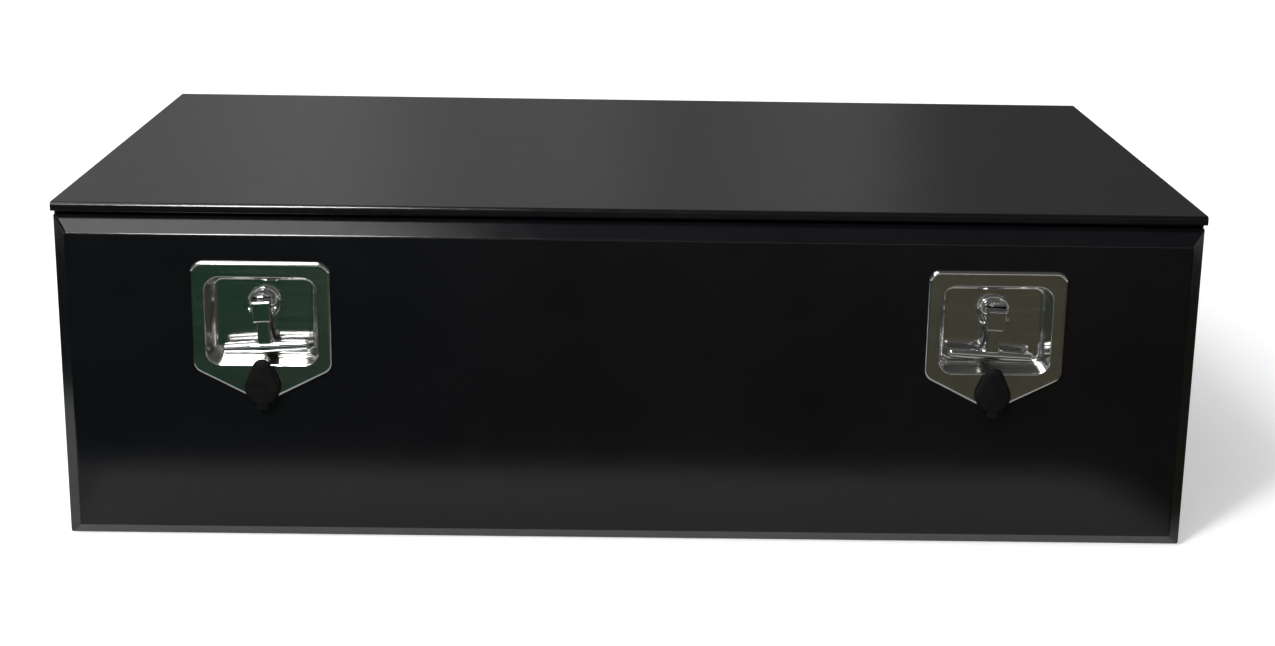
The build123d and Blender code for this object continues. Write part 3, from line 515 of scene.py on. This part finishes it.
def stage_floor():
    height = cad_box[0][2] - FLOOR_GAP
    pale = floor_material()
    outer = rectangle(FLOOR_REACH, -FLOOR_REACH, FLOOR_REACH)
    hole = rectangle(WELL_HALF, WELL_FRONT, WELL_BACK)
    around = [(0, 1, 5, 4), (1, 2, 6, 5), (2, 3, 7, 6), (3, 0, 4, 7)]
    floor = stage_mesh("floor", outer + hole, around, height, pale)
    floor.visible_shadow = False

    riser = [(-RISER_HALF, WELL_BACK, 0.0), (RISER_HALF, WELL_BACK, 0.0)]
    riser += [(RISER_HALF, WELL_BACK, -WELL_DEPTH), (-RISER_HALF, WELL_BACK, -WELL_DEPTH)]
    well_floor = rectangle(WELL_FLOOR_HALF, WELL_FLOOR_FRONT, WELL_FLOOR_BACK, -WELL_DEPTH)
    stage_mesh("floor_well", riser + well_floor, [(0, 1, 2, 3), (4, 5, 6, 7)], height, pale)

    # Painted reflection: the dark cards show only in the box's gloss, never to the camera, in diffuse
    # light or in shadows
    card_plane = rectangle(CARD_REACH, -CARD_REACH, CARD_REACH)
    cards = stage_mesh("cards", card_plane, [(0, 1, 2, 3)], height + CARD_GAP, painted_reflection_material())
    cards.visible_camera = False
    cards.visible_diffuse = False
    cards.visible_shadow = False


stage_floor()

# World: panels that are brighter to the left behind the box, and a dim room in front of it.
# Each place runs from 0 at the left to 1 at the right.
PANEL_LEVELS = (
    (0.0, 0.30),
    (0.28, 0.27),
    (0.36, 0.33),
    (0.43, 0.235),
    (0.485, 0.24),
    (0.53, 0.18),
    (0.605, 0.22),
    (0.66, 0.105),
    (1.0, 0.08),
)
PANEL_HALF = 0.5
ROOM_LOW, ROOM_HIGH = 0.24, 0.08
ROOM_LOW_AT, ROOM_HIGH_AT = 0.18, 0.42
ROOM_ENDS, PANELS_FULL = -0.25, 0.55
STRENGTH_LOW, STRENGTH_HIGH = 0.66, 1.0
STRENGTH_LOW_AT, STRENGTH_HIGH_AT = 0.165, 0.205


def grey(level):
    return (level, level, level)


def panel_colours(tree, place):
    panels = tree.nodes.new("ShaderNodeValToRGB")
    stops = panels.color_ramp
    stops.interpolation = "EASE"
    for position, _ in PANEL_LEVELS[1:-1]:
        stops.elements.new(position)
    for element, (position, level) in zip(stops.elements, PANEL_LEVELS):
        element.position = position
        element.color = (*grey(level), 1.0)
    tree.links.new(place, panels.inputs["Fac"])
    return panels.outputs["Color"]


def studio_world():
    world = bpy.data.worlds.new("studio")
    scene.world = world
    world.use_nodes = True
    tree = world.node_tree
    tree.nodes.clear()
    output = tree.nodes.new("ShaderNodeOutputWorld")
    shader = tree.nodes.new("ShaderNodeBackground")
    tree.links.new(shader.outputs["Background"], output.inputs["Surface"])
    coords = tree.nodes.new("ShaderNodeTexCoord")
    split = tree.nodes.new("ShaderNodeSeparateXYZ")
    tree.links.new(coords.outputs["Generated"], split.inputs["Vector"])
    x, y, z = (split.outputs[axis] for axis in "XYZ")
    room = tint(tree, z, grey(ROOM_LOW), grey(ROOM_HIGH), ROOM_LOW_AT, ROOM_HIGH_AT)
    sideways = spread(tree, x, 0.0, 1.0, -PANEL_HALF, PANEL_HALF)
    blend = tree.nodes.new("ShaderNodeMix")
    blend.data_type = "RGBA"
    connect(tree, blend, {
        "Factor": spread(tree, y, 0.0, 1.0, ROOM_ENDS, PANELS_FULL),
        "A": room,
        "B": panel_colours(tree, sideways),
    })
    connect(tree, shader, {
        "Color": blend.outputs["Result"],
        "Strength": spread(
            tree, z, STRENGTH_LOW, STRENGTH_HIGH, STRENGTH_LOW_AT, STRENGTH_HIGH_AT
        ),
    })


studio_world()


# Lamps
def add_lamp(name, lamp, direction):
    obj = bpy.data.objects.new(name, lamp)
    scene.collection.objects.link(obj)
    obj.rotation_euler = direction.to_track_quat("-Z", "Y").to_euler()
    return obj


def softbox(name, place, target, width, length, power):
    lamp = bpy.data.lights.new(name, "AREA")
    lamp.shape = "RECTANGLE"
    lamp.size = width
    lamp.size_y = length
    lamp.energy = power
    obj = add_lamp(name, lamp, Vector(target) - Vector(place))
    obj.location = place


def sun(name, direction, strength, degrees):
    lamp = bpy.data.lights.new(name, "SUN")
    lamp.energy = strength
    lamp.angle = math.radians(degrees)
    add_lamp(name, lamp, Vector(direction))


sun("fill_sun", direction=(0.45, 0.60, -0.75), strength=0.8, degrees=30.0)
softbox(
    "top_softbox",
    place=(-0.79, -0.45, 1.9), target=(-0.77, -0.42, 0.3), width=0.92, length=0.7, power=5.6,
)
softbox(
    "key_softbox",
    place=(-0.66, -1.70, 1.65), target=(-0.15, -0.3, 0.2), width=0.18, length=1.30, power=46.0,
)

# Camera, fitted to the box's corners in the photograph
PHOTO_WIDTH_PX, FOCAL_PX = 1275.0, 2137.30
SENSOR_MM = 36.0
CAMERA_PLACE = (-0.01261, -2.09844, 0.69834)
CAMERA_YAW, CAMERA_PITCH, CAMERA_ROLL = -0.630, 15.343, 0.875
CLIP_START, CLIP_END = 0.05, 60.0


def photo_camera():
    data = bpy.data.cameras.new("camera")
    camera = bpy.data.objects.new("camera", data)
    scene.collection.objects.link(camera)
    scene.camera = camera
    data.sensor_fit = "HORIZONTAL"
    data.sensor_width = SENSOR_MM
    data.lens = FOCAL_PX / PHOTO_WIDTH_PX * SENSOR_MM
    data.clip_start, data.clip_end = CLIP_START, CLIP_END
    yaw, pitch, roll = (math.radians(turn) for turn in (CAMERA_YAW, CAMERA_PITCH, CAMERA_ROLL))
    level_ahead = Vector((-math.sin(yaw), math.cos(yaw), 0.0))
    level_right = Vector((math.cos(yaw), math.sin(yaw), 0.0))
    upright = Vector((0.0, 0.0, 1.0))
    ahead = level_ahead * math.cos(pitch) - upright * math.sin(pitch)
    level_up = level_ahead * math.sin(pitch) + upright * math.cos(pitch)
    right = level_right * math.cos(roll) + level_up * math.sin(roll)
    up = level_up * math.cos(roll) - level_right * math.sin(roll)
    pose = Matrix((right, up, -ahead)).transposed().to_4x4()
    pose.translation = Vector(CAMERA_PLACE)
    camera.matrix_world = pose


photo_camera()
